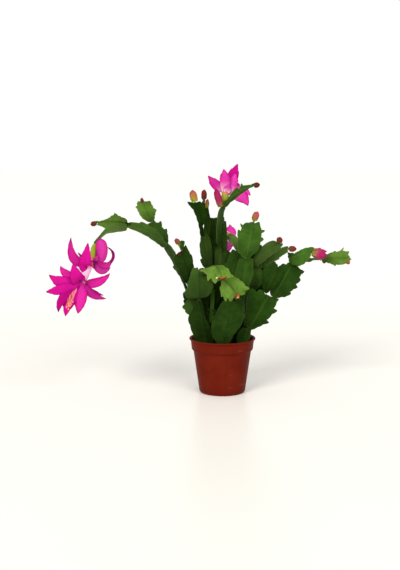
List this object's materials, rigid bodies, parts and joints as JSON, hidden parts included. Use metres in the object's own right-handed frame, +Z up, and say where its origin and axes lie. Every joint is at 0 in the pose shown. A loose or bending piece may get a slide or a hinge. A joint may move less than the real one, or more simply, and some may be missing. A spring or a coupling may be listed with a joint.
{
  "type": "potted christmas cactus",
  "caption": "Flowering Christmas cactus with arching chains of flat toothed segments, tipped with magenta flowers and buds, in a small round tapered plastic pot.",
  "frame": {"origin": "middle of the pot's underside, on the surface that it stands on", "axes": "+Z up; +X to the right of the plant's front, which runs along its widest spread; +Y to its back"},
  "size_m": [0.2721, 0.106, 0.2096],
  "materials": {
    "pot_plastic": "satin terracotta-brown moulded plastic",
    "potting_soil": "dark, rough, fibrous peat",
    "old_segments": "waxy dark green skin with a dull gloss",
    "grown_segments": "waxy green skin with a satin gloss",
    "young_segments": "thin, light green, waxy skin",
    "buds": "smooth overlapping pink-red scales over a yellow-green base",
    "petals": "thin silky magenta petals, paler at the throat",
    "stamens": "pale pink threads with cream anthers"
  },
  "bodies": {
    "root": {"pot": "pot_plastic", "soil": "potting_soil", "left_stem_1": "old_segments", "left_stem_2": "old_segments", "left_stem_3": "old_segments", "middle_stem_1": "old_segments", "middle_stem_2": "grown_segments", "middle_stem_3": "grown_segments", "inner_stem_1": "grown_segments", "inner_stem_2": "grown_segments", "right_stem_1": "old_segments", "right_stem_2": "grown_segments", "right_stem_3": "grown_segments", "right_stem_4": "grown_segments", "right_twig_1": "grown_segments", "right_twig_2": "grown_segments", "right_twig_3": "young_segments", "fork_1": "old_segments", "fork_2": "grown_segments", "fork_3": "grown_segments", "fork_4": "grown_segments", "small_shoot": "old_segments", "core_stem_1": "old_segments", "core_stem_2": "old_segments", "drooping_1": "young_segments", "drooping_2": "young_segments", "tall_left_1": "grown_segments", "tall_left_2": "grown_segments", "tall_left_3": "grown_segments", "tall_right_1": "grown_segments", "tall_right_2": "grown_segments", "tall_right_3": "grown_segments", "tall_back": "grown_segments", "arm_1": "old_segments", "arm_2": "old_segments", "arm_3": "grown_segments", "arm_side": "grown_segments", "arm_up_1": "grown_segments", "arm_up_2": "young_segments", "arm_4": "grown_segments", "arm_5": "grown_segments", "arm_fork": "young_segments", "back_stem_1": "old_segments", "back_stem_2": "grown_segments", "bud_tall_left": "buds", "bud_tall_middle": "buds", "bud_beside_flower": "petals", "bud_twig_end": "buds", "bud_broad_segment": "buds", "bud_fork_upper": "buds", "bud_fork_lower": "buds", "bud_arm_side": "buds", "bud_arm_fork": "buds", "bud_opening": "buds", "hanging_flower": "petals", "hanging_flower_stamens": "stamens", "top_flower": "petals", "top_flower_stamens": "stamens", "rear_flower": "petals", "rear_flower_stamens": "stamens"}
  },
  "joints": []
}
